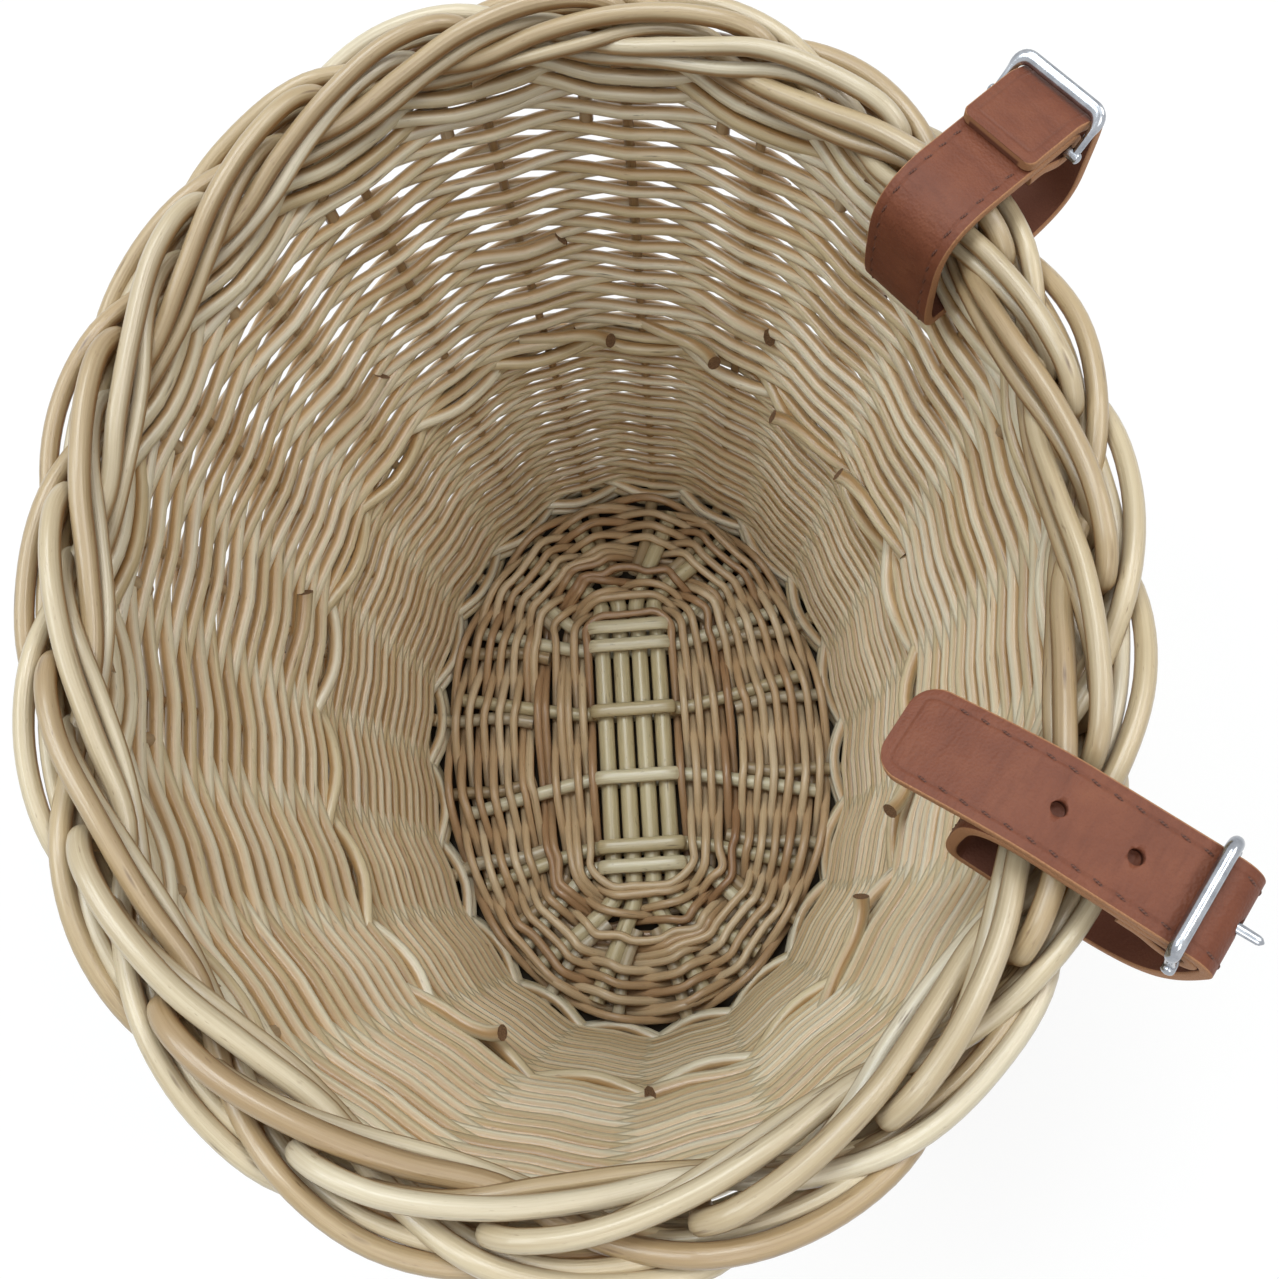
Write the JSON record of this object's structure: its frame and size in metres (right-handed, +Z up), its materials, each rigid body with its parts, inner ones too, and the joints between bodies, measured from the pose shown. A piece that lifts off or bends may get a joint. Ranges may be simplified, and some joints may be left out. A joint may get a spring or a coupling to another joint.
{
  "type": "bicycle basket",
  "caption": "Oval willow bicycle basket with a plaited border, open at the top, with leather straps and buckles for a handlebar.",
  "frame": {"origin": "on the ground, under the middle of the box round the whole part", "axes": "+Z up, +X to the side with the straps, +Y along the long axis of the oval"},
  "size_m": [0.2548, 0.3032, 0.2429],
  "materials": {
    "willow": "satin",
    "pale_willow": "satin",
    "brown_willow": "satin",
    "leather": "satin",
    "chrome": "polished"
  },
  "bodies": {
    "basket": {"side_stake_01": "pale_willow", "side_stake_02": "pale_willow", "side_stake_03": "pale_willow", "side_stake_04": "pale_willow", "side_stake_05": "pale_willow", "side_stake_06": "pale_willow", "side_stake_07": "pale_willow", "side_stake_08": "pale_willow", "side_stake_09": "pale_willow", "side_stake_10": "pale_willow", "side_stake_11": "pale_willow", "side_stake_12": "pale_willow", "side_stake_13": "pale_willow", "side_stake_14": "pale_willow", "side_stake_15": "pale_willow", "side_stake_16": "pale_willow", "side_stake_17": "pale_willow", "side_stake_18": "pale_willow", "side_stake_19": "pale_willow", "side_stake_20": "pale_willow", "base_long_stick_1": "pale_willow", "base_long_stick_2": "pale_willow", "base_long_stick_3": "pale_willow", "base_long_stick_4": "pale_willow", "base_cross_stick_1": "pale_willow", "base_cross_stick_2": "pale_willow", "base_cross_stick_3": "pale_willow", "base_cross_stick_4": "pale_willow", "base_cross_stick_5": "pale_willow", "base_cross_stick_6": "pale_willow", "foot_wale": "willow", "lower_weave": "willow", "mid_wale": "willow", "upper_weave": "willow", "top_wale": "willow", "base_weave": "brown_willow", "right_strap_loop": "leather", "left_strap": "leather"},
    "right_tail": {"right_strap_tail": "leather"},
    "right_frame": {"right_buckle_frame": "chrome"},
    "right_prong": {"right_buckle_prong": "chrome"},
    "left_frame": {"left_buckle_frame": "chrome"},
    "left_prong": {"left_buckle_prong": "chrome"}
  },
  "joints": [
    {"name": "right_tail_lift", "type": "hinge", "parent": "basket", "child": "right_tail", "pos_m": [0.10882, -0.08457, 0.23724], "axis": [0.6194, 0.7851, 0], "range_deg": [0, 55]},
    {"name": "right_frame_swing", "type": "hinge", "parent": "basket", "child": "right_frame", "pos_m": [0.1151, -0.08953, 0.23144], "axis": [0.6194, 0.7851, 0], "range_deg": [0, 60]},
    {"name": "right_prong_swing", "type": "hinge", "parent": "basket", "child": "right_prong", "pos_m": [0.1151, -0.08953, 0.23144], "axis": [-0.6194, -0.7851, 0], "range_deg": [-4, 6]},
    {"name": "left_frame_lift", "type": "hinge", "parent": "basket", "child": "left_frame", "pos_m": [0.11072, 0.08859, 0.23144], "axis": [0.6045, -0.7966, 0], "range_deg": [0, 50]},
    {"name": "left_prong_swing", "type": "hinge", "parent": "basket", "child": "left_prong", "pos_m": [0.11072, 0.08859, 0.23144], "axis": [0.6045, -0.7966, 0], "range_deg": [-30, 35]}
  ]
}
